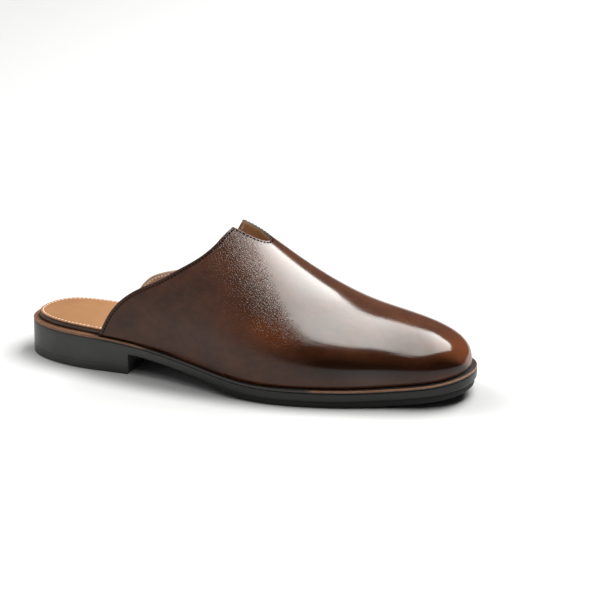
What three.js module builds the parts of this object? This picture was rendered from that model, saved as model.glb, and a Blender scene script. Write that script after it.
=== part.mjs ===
// A mule shoe for the right foot: a backless smooth leather upper with a notch
// over the instep, on a low stacked heel and a thin leather sole.
// Millimetres. +X points to the toe, +Y to the inner side of the foot, +Z up.
import * as THREE from "three";

// Sizes of the last, the form that the upper is pulled over.
const LAST_LENGTH = 295;
const BALL_WIDTH = 96;
const INSTEP_HEIGHT = 84;

// Layers, from the foot down.
const WALL = 2;
const SOCK_THICKNESS = 0.8;
const INSOLE_THICKNESS = 2.7;
const WELT_THICKNESS = 1.8;
const MIDSOLE_THICKNESS = 5.5;
const OUTSOLE_THICKNESS = 4.1;
const LAYER_GAP = 0.3;

// How the sole stands and how far it reaches.
const HEEL_RISE = 12;
const TOE_SPRING = 7.5;
const HEEL_LENGTH = 77.6;
const WELT_LEDGE = 3.7;
const OUTSOLE_INSET = 1.6;
const OUTSOLE_FEATHER = 0.8;
const SOCK_INSET = 0.6;
const TOE_EASE = 1.2;

// Shares of LAST_LENGTH where the side view of the sole changes.
const HEEL_SEAT_END = 0.102;
const FLAT_START = 0.6;
const FLAT_END = 0.742;
const OUTSOLE_START = 0.356;
const OUTSOLE_FULL = 0.56;

// The rubber is cut off straight this share of the way from OUTSOLE_START to OUTSOLE_FULL.
const OUTSOLE_CUT = 0.25;

// The feather line, where the upper's outer face meets the sole, seen from above.
// Places are shares of LAST_LENGTH from the back, widths are shares of BALL_WIDTH.
const FEATHER = [
  { at: 0, centre: 0, half: 0 },
  { at: 0.05, centre: 0.023, half: 0.245 },
  { at: 0.14, centre: 0, half: 0.303 },
  { at: 0.27, centre: 0, half: 0.315 },
  { at: 0.42, centre: -0.054, half: 0.355 },
  { at: 0.55, centre: -0.075, half: 0.452 },
  { at: 0.66, centre: -0.021, half: 0.499 },
  { at: 0.76, centre: 0.036, half: 0.473 },
  { at: 0.86, centre: 0.082, half: 0.406 },
  { at: 0.94, centre: 0.068, half: 0.308 },
  { at: 1, centre: 0.044, half: 0 },
];

// The ridge over the instep and toes: height as a share of INSTEP_HEIGHT above the
// feather line, and its shift to the inner side of the middle as a share of BALL_WIDTH.
const RIDGE = [
  { at: 0.16, height: 1.14, shift: 0.03 },
  { at: 0.28, height: 1.11, shift: 0.037 },
  { at: 0.4, height: 1.07, shift: 0.09 },
  { at: 0.5, height: 1, shift: 0.127 },
  { at: 0.6, height: 0.79, shift: 0.108 },
  { at: 0.7, height: 0.59, shift: 0.045 },
  { at: 0.8, height: 0.471, shift: -0.02 },
  { at: 0.9, height: 0.351, shift: -0.033 },
  { at: 0.96, height: 0.234, shift: -0.046 },
  { at: 1, height: 0, shift: 0 },
];

// How far a cross section swells past a plain quarter oval: the shoulder on the outer
// side, the shoulder on the inner side, and the bulge just above the feather line.
const FULLNESS = [
  { at: 0.16, outer: -0.1, inner: 0.2, bulge: 0.15 },
  { at: 0.28, outer: -0.08, inner: 0.3, bulge: 0.2 },
  { at: 0.45, outer: 0, inner: 0.5, bulge: 0.22 },
  { at: 0.6, outer: 0.05, inner: 0.35, bulge: 0.2 },
  { at: 0.75, outer: 0.14, inner: 0.22, bulge: 0.12 },
  { at: 0.88, outer: 0.25, inner: 0.25, bulge: 0.08 },
  { at: 1, outer: 0.3, inner: 0.95, bulge: 0.06 },
];

// How far the welt stands out past the feather line, as a share of WELT_LEDGE.
const LEDGE = [
  { at: 0, reach: 0.43 },
  { at: 0.3, reach: 0.34 },
  { at: 0.5, reach: 0.29 },
  { at: 0.66, reach: 0.5 },
  { at: 0.85, reach: 0.86 },
  { at: 1, reach: 1 },
];

// The opening's edge on each side: from the back corner up to the peak beside the notch,
// then down the notch. turn is the share of the way round from feather line to ridge.
const OUTER_TOPLINE = [
  { at: 0.186, turn: 0 },
  { at: 0.204, turn: 0.084 },
  { at: 0.239, turn: 0.187 },
  { at: 0.287, turn: 0.275 },
  { at: 0.333, turn: 0.35 },
  { at: 0.372, turn: 0.432 },
  { at: 0.42, turn: 0.551 },
  { at: 0.448, turn: 0.669 },
  { at: 0.47, turn: 0.879 },
];
const INNER_TOPLINE = [
  { at: 0.181, turn: 0 },
  { at: 0.203, turn: 0.095 },
  { at: 0.226, turn: 0.156 },
  { at: 0.265, turn: 0.205 },
  { at: 0.31, turn: 0.25 },
  { at: 0.365, turn: 0.345 },
  { at: 0.412, turn: 0.475 },
  { at: 0.448, turn: 0.638 },
  { at: 0.472, turn: 0.874 },
];
const OUTER_NOTCH = [
  { at: 0.47, turn: 0.879 },
  { at: 0.488, turn: 0.884 },
  { at: 0.512, turn: 0.896 },
  { at: 0.531, turn: 0.928 },
  { at: 0.541, turn: 0.968 },
  { at: 0.543, turn: 1 },
];
const INNER_NOTCH = [
  { at: 0.472, turn: 0.874 },
  { at: 0.489, turn: 0.874 },
  { at: 0.512, turn: 0.886 },
  { at: 0.531, turn: 0.92 },
  { at: 0.541, turn: 0.962 },
  { at: 0.543, turn: 1 },
];

// Where the columns of the upper's mesh stand on the feather line.
const PEAK_FOOT = 0.37;
const NOTCH_FOOT = 0.49;

// Mesh density.
const SOLE_STATIONS = 56;
const TOPLINE_COLUMNS = 20;
const NOTCH_COLUMNS = 9;
const RIDGE_COLUMNS = 28;
const WALL_ROWS = 10;

// Steps in station angle and turn over which slopes are measured.
const PLAN_NUDGE = 0.01;
const SLOPE_NUDGE = 0.004;

const OUTER = -1;
const INNER = 1;
const QUARTER_TURN = Math.PI / 2;

// Stations along the last are spaced by an angle, so that both round ends are smooth.
const angleOf = (at) => Math.acos(1 - 2 * THREE.MathUtils.clamp(at, 0, 1));
const lengthAt = (angle) => (LAST_LENGTH * (1 - Math.cos(angle))) / 2;
const ease = (share) => THREE.MathUtils.smoothstep(share, 0, 1);

// The smooth cubic curve through knots, with level or free ends.
function curveThrough(knots, values, levelStart = false, levelEnd = false) {
  const last = knots.length - 1;
  const step = knots.slice(1).map((knot, i) => knot - knots[i]);
  const slope = step.map((width, i) => (values[i + 1] - values[i]) / width);
  const upper = [];
  const right = [];
  for (let i = 0; i <= last; i += 1) {
    let below = i > 0 ? step[i - 1] : 0;
    let above = i < last ? step[i] : 0;
    let middle = 2 * (below + above);
    let target = 6 * ((i < last ? slope[i] : 0) - (i > 0 ? slope[i - 1] : 0));
    if ((i === 0 && !levelStart) || (i === last && !levelEnd)) {
      below = 0;
      above = 0;
      middle = 1;
      target = 0;
    }
    const pivot = middle - (i > 0 ? below * upper[i - 1] : 0);
    upper.push(above / pivot);
    right.push((target - (i > 0 ? below * right[i - 1] : 0)) / pivot);
  }
  const bend = right.slice();
  for (let i = last - 1; i >= 0; i -= 1) {
    bend[i] -= upper[i] * bend[i + 1];
  }
  return (place) => {
    const spot = THREE.MathUtils.clamp(place, knots[0], knots[last]);
    let i = 0;
    while (i < last - 1 && spot > knots[i + 1]) {
      i += 1;
    }
    const before = (knots[i + 1] - spot) / step[i];
    const after = 1 - before;
    const sag = (step[i] * step[i]) / 6;
    return (
      before * values[i] +
      after * values[i + 1] +
      sag * ((before ** 3 - before) * bend[i] + (after ** 3 - after) * bend[i + 1])
    );
  };
}

// A column of a table as a smooth function of the station angle.
function column(table, name, levelStart, levelEnd) {
  const knots = table.map((row) => angleOf(row.at));
  const values = table.map((row) => row[name]);
  return curveThrough(knots, values, levelStart, levelEnd);
}

const centreAt = column(FEATHER, "centre", true, true);
const halfAt = column(FEATHER, "half");
const ridgeHeightAt = column(RIDGE, "height");
const ridgeShiftAt = column(RIDGE, "shift", false, true);
const outerFullAt = column(FULLNESS, "outer", true, true);
const innerFullAt = column(FULLNESS, "inner", true, true);
const bulgeAt = column(FULLNESS, "bulge", true, true);
const ledgeAt = column(LEDGE, "reach", true, true);

// Side view of the sole: heights of its layers at a distance x from the back.
const riseAt = (x) =>
  HEEL_RISE * ease((FLAT_START - x / LAST_LENGTH) / (FLAT_START - HEEL_SEAT_END));
const toeReach = LAST_LENGTH + WELT_LEDGE - FLAT_END * LAST_LENGTH;
const springAt = (x) => TOE_SPRING * (Math.max(x - FLAT_END * LAST_LENGTH, 0) / toeReach) ** 2;
const midsoleBottomAt = (x) => OUTSOLE_THICKNESS + LAYER_GAP + riseAt(x) + springAt(x);
const midsoleTopAt = (x) => midsoleBottomAt(x) + MIDSOLE_THICKNESS;
const weltBottomAt = (x) => midsoleTopAt(x) + LAYER_GAP;
const weltTopAt = (x) => weltBottomAt(x) + WELT_THICKNESS;
const featherHeightAt = (x) => weltTopAt(x) + LAYER_GAP;
const insoleTopAt = (x) => featherHeightAt(x) + INSOLE_THICKNESS;
const sockBottomAt = (x) => insoleTopAt(x) + LAYER_GAP;
const sockTopAt = (x) => sockBottomAt(x) + SOCK_THICKNESS;
const outsoleTopAt = (x) => midsoleBottomAt(x) - LAYER_GAP;
const outsoleDepthAt = (x) => {
  const share = (x / LAST_LENGTH - OUTSOLE_START) / (OUTSOLE_FULL - OUTSOLE_START);
  return OUTSOLE_THICKNESS * ease(share);
};
const outsoleBottomAt = (x) => outsoleTopAt(x) - Math.max(outsoleDepthAt(x), OUTSOLE_FEATHER);

// Collects the faces of one closed body, joining corners that fall together.
class Body {
  constructor() {
    this.positions = [];
    this.triangles = [];
    this.known = new Map();
  }

  corner(point) {
    const key = point.toArray().map((value) => Math.round(value * 1000)).join(" ");
    if (!this.known.has(key)) {
      this.known.set(key, this.positions.length / 3);
      this.positions.push(point.x, point.y, point.z);
    }
    return this.known.get(key);
  }

  triangle(a, b, c) {
    const corners = [this.corner(a), this.corner(b), this.corner(c)];
    if (new Set(corners).size === 3) {
      this.triangles.push(...corners);
    }
  }

  quad(a, b, c, d) {
    this.triangle(a, b, c);
    this.triangle(a, c, d);
  }

  mesh(name, color, roughness) {
    const geometry = new THREE.BufferGeometry();
    geometry.setAttribute("position", new THREE.Float32BufferAttribute(this.positions, 3));
    geometry.setIndex(this.triangles);
    geometry.computeVertexNormals();
    const material = new THREE.MeshStandardMaterial({ color, roughness, metalness: 0 });
    const result = new THREE.Mesh(geometry, material);
    result.name = name;
    return result;
  }
}

// A point of the feather line, moved outwards in plan by reach.
function featherPoint(angle, side, reach) {
  const at = (spot) => {
    const inside = THREE.MathUtils.clamp(spot, 0, Math.PI);
    const past = spot < 0 || spot > Math.PI;
    const hand = past ? -side : side;
    const turned = past ? 2 * inside - spot : spot;
    const y = (centreAt(turned) + hand * halfAt(turned)) * BALL_WIDTH;
    return new THREE.Vector2(lengthAt(turned), y);
  };
  const along = at(angle + PLAN_NUDGE).sub(at(angle - PLAN_NUDGE)).normalize();
  const spot = at(angle);
  return new THREE.Vector2(spot.x - side * along.y * reach, spot.y + side * along.x * reach);
}

// A plate of the sole between two stations: reach(angle) is how far its edge stands out
// past the feather line, bottom(x) and top(x) are its faces. A cut end is straight.
function plate(name, color, roughness, { reach, bottom, top, start = 0, end = LAST_LENGTH }) {
  const body = new Body();
  const first = angleOf(start / LAST_LENGTH);
  const last = angleOf(end / LAST_LENGTH);
  const count = Math.ceil((SOLE_STATIONS * (last - first)) / Math.PI);
  const sides = [];
  for (let i = 0; i <= count; i += 1) {
    const angle = first + ((last - first) * i) / count;
    const pair = [OUTER, INNER].map((side) => featherPoint(angle, side, reach(angle)));
    if (i === 0 && start > 0) {
      pair.forEach((spot) => spot.setX(start));
    }
    if (i === count && end < LAST_LENGTH) {
      pair.forEach((spot) => spot.setX(end));
    }
    const low = pair.map((spot) => new THREE.Vector3(spot.x, spot.y, bottom(spot.x)));
    const high = pair.map((spot) => new THREE.Vector3(spot.x, spot.y, top(spot.x)));
    sides.push({ low, high });
  }
  for (let i = 0; i < count; i += 1) {
    const back = sides[i];
    const front = sides[i + 1];
    body.quad(back.high[0], front.high[0], front.high[1], back.high[1]);
    body.quad(back.low[1], front.low[1], front.low[0], back.low[0]);
    body.quad(back.low[0], front.low[0], front.high[0], back.high[0]);
    body.quad(back.high[1], front.high[1], front.low[1], back.low[1]);
  }
  const back = sides[0];
  const front = sides[count];
  body.quad(back.low[1], back.low[0], back.high[0], back.high[1]);
  body.quad(front.low[0], front.low[1], front.high[1], front.high[0]);
  return body.mesh(name, color, roughness);
}

const soleReach = (angle) => WELT_LEDGE * ledgeAt(angle);
const insoleReach = (angle) => {
  const toeShare = ease((lengthAt(angle) / LAST_LENGTH - FLAT_END) / (1 - FLAT_END));
  return -(WALL + LAYER_GAP + TOE_EASE * toeShare);
};
const heelEnd = HEEL_LENGTH - WELT_LEDGE * ledgeAt(0);

function makeHeel() {
  return plate("heel", "#2c2b2a", 0.45, {
    reach: soleReach,
    bottom: () => 0,
    top: (x) => midsoleBottomAt(x) - LAYER_GAP,
    end: heelEnd,
  });
}

function makeOutsole() {
  return plate("outsole", "#1e1e1e", 0.7, {
    reach: (angle) => soleReach(angle) - OUTSOLE_INSET,
    bottom: outsoleBottomAt,
    top: outsoleTopAt,
    start: THREE.MathUtils.lerp(OUTSOLE_START, OUTSOLE_FULL, OUTSOLE_CUT) * LAST_LENGTH,
  });
}

function makeMidsole() {
  return plate("midsole", "#2c2b2a", 0.45, {
    reach: soleReach,
    bottom: midsoleBottomAt,
    top: midsoleTopAt,
  });
}

function makeWelt() {
  return plate("welt", "#9c6a48", 0.5, { reach: soleReach, bottom: weltBottomAt, top: weltTopAt });
}

function makeInsole() {
  return plate("insole", "#3c2822", 0.5, {
    reach: insoleReach,
    bottom: featherHeightAt,
    top: insoleTopAt,
  });
}

function makeSock() {
  return plate("sock", "#c98f63", 0.6, {
    reach: (angle) => insoleReach(angle) - SOCK_INSET,
    bottom: sockBottomAt,
    top: sockTopAt,
  });
}

// A point on the outside of the upper: round from the feather line to the ridge.
function upperPoint(angle, turn, side) {
  const x = lengthAt(angle);
  const centre = centreAt(angle) * BALL_WIDTH;
  const ridgeY = centre + ridgeShiftAt(angle) * BALL_WIDTH;
  const half = centre + side * halfAt(angle) * BALL_WIDTH - ridgeY;
  const sine = Math.sin(turn * QUARTER_TURN);
  const cosine = Math.cos(turn * QUARTER_TURN);
  const full = side === OUTER ? outerFullAt(angle) : innerFullAt(angle);
  const swell = 1 + full * sine ** 2 + bulgeAt(angle) * sine * cosine ** 2;
  const height = ridgeHeightAt(angle) * INSTEP_HEIGHT * sine;
  return new THREE.Vector3(x, ridgeY + half * cosine * swell, featherHeightAt(x) + height);
}

// The same point on the inside, one wall in along the surface normal.
// On the feather line the normal is kept level, so that the wall stands flat on the welt,
// and on the ridge both sides share one normal.
function liningPoint(angle, turn, side) {
  const point = upperPoint(angle, turn, side);
  const safe = Math.min(angle, Math.PI - 4 * SLOPE_NUDGE);
  const along = upperPoint(safe + SLOPE_NUDGE, turn, side).sub(upperPoint(safe - SLOPE_NUDGE, turn, side));
  const low = Math.max(turn - SLOPE_NUDGE, 0);
  const high = Math.min(turn + SLOPE_NUDGE, 1);
  const around = upperPoint(safe, high, side).sub(upperPoint(safe, low, side));
  if (turn > 1 - SLOPE_NUDGE) {
    around.set(0, -side, 0);
  }
  const normal = along.cross(around).multiplyScalar(-side).normalize();
  if (angle > Math.PI - SLOPE_NUDGE) {
    normal.set(1, 0, 0);
  }
  if (turn < SLOPE_NUDGE) {
    normal.setZ(0).normalize();
  }
  return point.addScaledVector(normal, -WALL);
}

// The edge of the opening as a smooth path from station angle and turn.
function edgePath(table) {
  const angles = table.map((row) => angleOf(row.at));
  const turns = table.map((row) => row.turn);
  const along = [0];
  for (let i = 1; i < table.length; i += 1) {
    along.push(along[i - 1] + Math.hypot(angles[i] - angles[i - 1], turns[i] - turns[i - 1]));
  }
  const total = along[along.length - 1];
  const angle = curveThrough(along, angles);
  const turn = curveThrough(along, turns);
  return (share) => ({ angle: angle(share * total), turn: turn(share * total) });
}

// The columns of one side of the upper, each from its foot on the feather line to the
// opening's edge or the ridge. onRidge marks the columns that end on the ridge.
function upperColumns(topline, notch) {
  const columns = [];
  const add = (count, fromFoot, toFoot, head, onRidge) => {
    for (let i = columns.length === 0 ? 0 : 1; i <= count; i += 1) {
      const share = i / count;
      const foot = THREE.MathUtils.lerp(angleOf(fromFoot), angleOf(toFoot), share);
      columns.push({ foot, head: head(share), onRidge });
    }
  };
  const toplinePath = edgePath(topline);
  const notchPath = edgePath(notch);
  const notchEnd = angleOf(notch[notch.length - 1].at);
  const ridgePath = (share) => ({ angle: THREE.MathUtils.lerp(notchEnd, Math.PI, share), turn: 1 });
  add(TOPLINE_COLUMNS, topline[0].at, PEAK_FOOT, toplinePath, false);
  add(NOTCH_COLUMNS, PEAK_FOOT, NOTCH_FOOT, notchPath, false);
  add(RIDGE_COLUMNS, NOTCH_FOOT, 1, ridgePath, true);
  return columns;
}

// The hollow upper: both sides, inside and outside, closed along the feather line and
// along the edge of the opening.
function makeUpper() {
  const body = new Body();
  const halves = [
    { side: OUTER, columns: upperColumns(OUTER_TOPLINE, OUTER_NOTCH) },
    { side: INNER, columns: upperColumns(INNER_TOPLINE, INNER_NOTCH) },
  ];
  for (const { side, columns } of halves) {
    const grid = columns.map(({ foot, head }) => {
      const rows = [];
      for (let j = 0; j <= WALL_ROWS; j += 1) {
        const angle = THREE.MathUtils.lerp(foot, head.angle, j / WALL_ROWS);
        const turn = (head.turn * j) / WALL_ROWS;
        rows.push({ out: upperPoint(angle, turn, side), in: liningPoint(angle, turn, side) });
      }
      return rows;
    });
    const face = (a, b, c, d) => (side === OUTER ? body.quad(a, b, c, d) : body.quad(d, c, b, a));
    for (let i = 0; i < grid.length - 1; i += 1) {
      const back = grid[i];
      const front = grid[i + 1];
      for (let j = 0; j < WALL_ROWS; j += 1) {
        face(back[j].out, front[j].out, front[j + 1].out, back[j + 1].out);
        face(back[j + 1].in, front[j + 1].in, front[j].in, back[j].in);
      }
      face(back[0].in, front[0].in, front[0].out, back[0].out);
      if (!columns[i + 1].onRidge) {
        const top = WALL_ROWS;
        face(back[top].out, front[top].out, front[top].in, back[top].in);
      }
    }
  }
  return body.mesh("upper", "#4a2817", 0.3);
}

// The origin is the middle of the heel's flat bottom.
const heelMiddle = (heelEnd - WELT_LEDGE * ledgeAt(0)) / 2;
const shoe = new THREE.Group();
shoe.add(makeHeel(), makeOutsole(), makeMidsole(), makeWelt(), makeInsole(), makeSock(), makeUpper());
shoe.position.x = -heelMiddle;

export default shoe;
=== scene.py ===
"""A backless brown leather shoe for the right foot, dressed around its solids.

Lengths are metres, with +X to the toe, +Y to the inner side of the foot and +Z up. The
surfaces repeat the shape of the last from the same named sizes and tables as the solids.
"""

import logging
import math
from collections.abc import Callable, Sequence
from dataclasses import dataclass, field
from enum import Enum

import bmesh
import bpy
import numpy as np
from mathutils import Matrix


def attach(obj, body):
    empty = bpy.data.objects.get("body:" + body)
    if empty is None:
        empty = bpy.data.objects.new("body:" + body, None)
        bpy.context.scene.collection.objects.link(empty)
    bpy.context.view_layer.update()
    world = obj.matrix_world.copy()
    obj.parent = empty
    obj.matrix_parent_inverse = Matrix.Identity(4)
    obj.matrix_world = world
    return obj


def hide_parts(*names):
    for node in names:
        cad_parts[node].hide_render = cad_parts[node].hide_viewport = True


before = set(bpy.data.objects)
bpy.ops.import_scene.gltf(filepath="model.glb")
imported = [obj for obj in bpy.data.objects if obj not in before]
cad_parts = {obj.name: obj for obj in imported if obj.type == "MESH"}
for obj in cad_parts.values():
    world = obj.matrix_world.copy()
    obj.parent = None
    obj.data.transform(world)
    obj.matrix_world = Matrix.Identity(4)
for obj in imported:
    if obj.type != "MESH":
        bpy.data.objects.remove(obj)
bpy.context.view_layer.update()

log = logging.getLogger("shoe")
Table = dict[str, tuple[float, ...]]
Array = np.ndarray
Curve = Callable[[Array], Array]
Colour = tuple[float, float, float]
Span = tuple[float, float]
BODY = "root"
WELD = 2e-6


class Side(Enum):
    """The two halves of the shoe, by the sign of their Y."""

    OUTER = -1
    INNER = 1


def ease(share: Array | float) -> Array:
    """A smooth step from 0 to 1: share squared times three less twice the share."""
    clipped = np.clip(share, 0.0, 1.0)
    return clipped * clipped * (3.0 - 2.0 * clipped)


def bell(distance: Array | float) -> Array:
    """A soft bump: e to the minus distance squared."""
    return np.exp(-np.square(distance))


def unit(vectors: Array) -> Array:
    """The vectors over their own lengths, along the last axis."""
    return vectors / np.maximum(np.linalg.norm(vectors, axis=-1, keepdims=True), 1e-12)


def fade(value: Array, span: Span) -> Array:
    """A smooth step from the first end of a span, where it is 0, to the second, where it is 1."""
    return ease((value - span[0]) / (span[1] - span[0]))


def travelled(points: Array) -> Array:
    """The distance travelled along a path at each of its points, in straight steps."""
    return np.concatenate([[0.0], np.cumsum(np.linalg.norm(np.diff(points, axis=0), axis=1))])


def read_along(places: Array, travel: Array, values: Array) -> Array:
    """Each column of values at distances along a path, by straight lines between points."""
    return np.stack([np.interp(places, travel, part) for part in values.T], -1)


def over(base: Curve, height: float) -> Curve:
    """The curve that lies a height over another one."""
    return lambda x: base(x) + height


def rows_of(table: Table) -> list[dict[str, float]]:
    """A table's rows, each as its values by the names of the columns."""
    return [dict(zip(table, row)) for row in zip(*table.values())]


def cubic_curve(knots: Array, values: Array, level_start: bool = False,
                level_end: bool = False) -> Curve:
    """The smooth cubic through knots: its bends solve the usual three-term equations.

    Args:
        knots: rising places.
        values: the curve's value at each place.
        level_start: whether its slope is zero at the first knot, and not its bend.
        level_end: the same for the last knot.

    Returns:
        A function of an array of places.
    """
    knots, values = np.asarray(knots, float), np.asarray(values, float)
    step = np.diff(knots)
    slope = np.diff(values) / step
    count = len(knots)
    rows, target = np.zeros((count, count)), np.zeros(count)
    inner = np.arange(1, count - 1)
    rows[inner, inner - 1] = step[:-1]
    rows[inner, inner] = 2.0 * (step[:-1] + step[1:])
    rows[inner, inner + 1] = step[1:]
    target[inner] = 6.0 * np.diff(slope)
    rows[0, :2] = (2.0 * step[0], step[0]) if level_start else (1.0, 0.0)
    rows[-1, -2:] = (step[-1], 2.0 * step[-1]) if level_end else (0.0, 1.0)
    target[0] = 6.0 * slope[0] if level_start else 0.0
    target[-1] = -6.0 * slope[-1] if level_end else 0.0
    bend = np.linalg.solve(rows, target)

    def curve(places: Array) -> Array:
        """The cubic's value at each place, held level past its ends.

        Args:
            places: where to read it.

        Returns:
            The values.
        """
        spot = np.clip(places, knots[0], knots[-1])
        i = np.clip(np.searchsorted(knots, spot, side="right") - 1, 0, count - 2)
        before = (knots[i + 1] - spot) / step[i]
        after = 1.0 - before
        sag = step[i] ** 2 / 6.0
        pull = (before ** 3 - before) * bend[i] + (after ** 3 - after) * bend[i + 1]
        return before * values[i] + after * values[i + 1] + sag * pull

    return curve


def column(table: Table, name: str, level_start: bool = False, level_end: bool = False) -> Curve:
    """A column of a table as a smooth function of the station angle."""
    return cubic_curve(angle_of(np.array(table["at"])), table[name], level_start, level_end)


def angle_of(at: Array) -> Array:
    """The station angle at a share of the last's length: cosine spacing rounds both ends."""
    return np.arccos(1.0 - 2.0 * np.clip(at, 0.0, 1.0))


def share_of(angle: Array) -> Array:
    """The share of the last's length at a station angle."""
    return (1.0 - np.cos(angle)) / 2.0


@dataclass
class Last:
    """The form that the shoe is built on, and the levels of its layers."""

    length: float = 0.295
    ball_width: float = 0.096
    instep_height: float = 0.084
    wall: float = 0.002
    sock_thickness: float = 0.0008
    insole_thickness: float = 0.0027
    welt_thickness: float = 0.0018
    midsole_thickness: float = 0.0055
    outsole_thickness: float = 0.0041
    gap: float = 0.0003
    heel_rise: float = 0.012
    toe_spring: float = 0.0075
    heel_length: float = 0.0776
    ledge: float = 0.0037
    toe_ease: float = 0.0012
    heel_seat_end: float = 0.102
    flat_start: float = 0.6
    flat_end: float = 0.742
    feather: Table = field(default_factory=lambda: {
        "at": (0, 0.05, 0.14, 0.27, 0.42, 0.55, 0.66, 0.76, 0.86, 0.94, 1),
        "centre": (0, 0.023, 0, 0, -0.054, -0.075, -0.021, 0.036, 0.082, 0.068, 0.044),
        "half": (0, 0.245, 0.303, 0.315, 0.355, 0.452, 0.499, 0.473, 0.406, 0.308, 0)})
    ridge: Table = field(default_factory=lambda: {
        "at": (0.16, 0.28, 0.4, 0.5, 0.6, 0.7, 0.8, 0.9, 0.96, 1),
        "height": (1.14, 1.11, 1.07, 1, 0.79, 0.59, 0.471, 0.351, 0.234, 0),
        "shift": (0.03, 0.037, 0.09, 0.127, 0.108, 0.045, -0.02, -0.033, -0.046, 0)})
    fullness: Table = field(default_factory=lambda: {
        "at": (0.16, 0.28, 0.45, 0.6, 0.75, 0.88, 1),
        "outer": (-0.1, -0.08, 0, 0.05, 0.14, 0.25, 0.3),
        "inner": (0.2, 0.3, 0.5, 0.35, 0.22, 0.25, 0.95),
        "bulge": (0.15, 0.2, 0.22, 0.2, 0.12, 0.08, 0.06)})
    reach: Table = field(default_factory=lambda: {
        "at": (0, 0.3, 0.5, 0.66, 0.85, 1),
        "share": (0.43, 0.34, 0.29, 0.5, 0.86, 1)})

    def __post_init__(self) -> None:
        """Turns the tables' columns into curves, and finds the origin."""
        self.centre_at = column(self.feather, "centre", True, True)
        self.half_at = column(self.feather, "half")
        self.ridge_at = column(self.ridge, "height")
        self.shift_at = column(self.ridge, "shift", False, True)
        self.bulge_at = column(self.fullness, "bulge", True, True)
        self.full_at = {Side.OUTER: column(self.fullness, "outer", True, True),
                        Side.INNER: column(self.fullness, "inner", True, True)}
        self.reach_at = column(self.reach, "share", True, True)
        back_reach = self.ledge * float(self.reach_at(np.array(0.0)))
        self.heel_end = self.heel_length - back_reach
        self.origin = (self.heel_end - back_reach) / 2.0

    def x_at(self, angle: Array) -> Array:
        """Distance from the origin along the shoe at a station angle."""
        return self.length * share_of(angle) - self.origin

    def share_at(self, x: Array) -> Array:
        """Share of the last's length at a distance from the origin."""
        return (np.asarray(x) + self.origin) / self.length

    def rise_at(self, x: Array) -> Array:
        """Lift of the sole towards the heel, a smooth step in side view."""
        return self.heel_rise * fade(self.share_at(x), (self.flat_start, self.heel_seat_end))

    def spring_at(self, x: Array) -> Array:
        """Lift of the toe, which grows with the square of the way past the flat.

        Args:
            x: distances from the origin.

        Returns:
            Heights.
        """
        start = self.flat_end * self.length
        past = np.maximum(self.share_at(x) * self.length - start, 0.0)
        return self.toe_spring * np.square(past / (self.length + self.ledge - start))

    def midsole_bottom(self, x: Array) -> Array:
        """Height of the midsole's underside."""
        return self.outsole_thickness + self.gap + self.rise_at(x) + self.spring_at(x)

    def welt_bottom(self, x: Array) -> Array:
        """Height of the welt's underside."""
        return self.midsole_bottom(x) + self.midsole_thickness + self.gap

    def feather_height(self, x: Array) -> Array:
        """Height of the upper's lower edge, one gap over the welt."""
        return self.welt_bottom(x) + self.welt_thickness + self.gap

    def sock_bottom(self, x: Array) -> Array:
        """Height of the sock's underside, one gap over the insole."""
        return self.feather_height(x) + self.insole_thickness + self.gap

    def feather_point(self, angle: Array, side: Side, reach: Array | float) -> Array:
        """Points of the feather line in plan, moved out by reach along its normal.

        The line runs at the centre plus or minus the half width. Past either end it goes on
        along the other side, so that the normal is true at the back and at the toe.

        Args:
            angle: station angles.
            side: which half.
            reach: how far out.

        Returns:
            An array of x and y.
        """
        def spot(turned: Array) -> Array:
            """The feather line at an angle that may lie past an end.

            Args:
                turned: station angles, which may lie past 0 or pi.

            Returns:
                An array of x and y.
            """
            inside = np.clip(turned, 0.0, math.pi)
            past = (turned < 0.0) | (turned > math.pi)
            folded = np.where(past, 2.0 * inside - turned, turned)
            hand = np.where(past, -side.value, side.value)
            y = (self.centre_at(folded) + hand * self.half_at(folded)) * self.ball_width
            return np.stack([self.x_at(folded), y], -1)

        nudge = 0.01
        along = unit(spot(angle + nudge) - spot(angle - nudge))
        out = np.stack([-along[..., 1], along[..., 0]], -1) * side.value
        return spot(angle) + out * np.broadcast_to(reach, np.shape(angle))[..., None]

    def upper_point(self, angle: Array, turn: Array, side: Side) -> Array:
        """Points on the outside of the upper.

        Each cross section is a quarter oval from the feather line to the ridge, swollen by
        the shoulder's fullness times sine squared and by the bulge times sine cosine squared.

        Args:
            angle: station angles.
            turn: shares of the way round from feather line to ridge.
            side: which half.

        Returns:
            An array of points.
        """
        x = self.x_at(angle)
        ridge_y = (self.centre_at(angle) + self.shift_at(angle)) * self.ball_width
        half = (side.value * self.half_at(angle) - self.shift_at(angle)) * self.ball_width
        sine, cosine = np.sin(turn * math.pi / 2.0), np.cos(turn * math.pi / 2.0)
        swell = 1.0 + self.full_at[side](angle) * sine ** 2 + self.bulge_at(angle) * sine * cosine ** 2
        height = self.ridge_at(angle) * self.instep_height * sine
        return np.stack([x, ridge_y + half * cosine * swell, self.feather_height(x) + height], -1)

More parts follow.
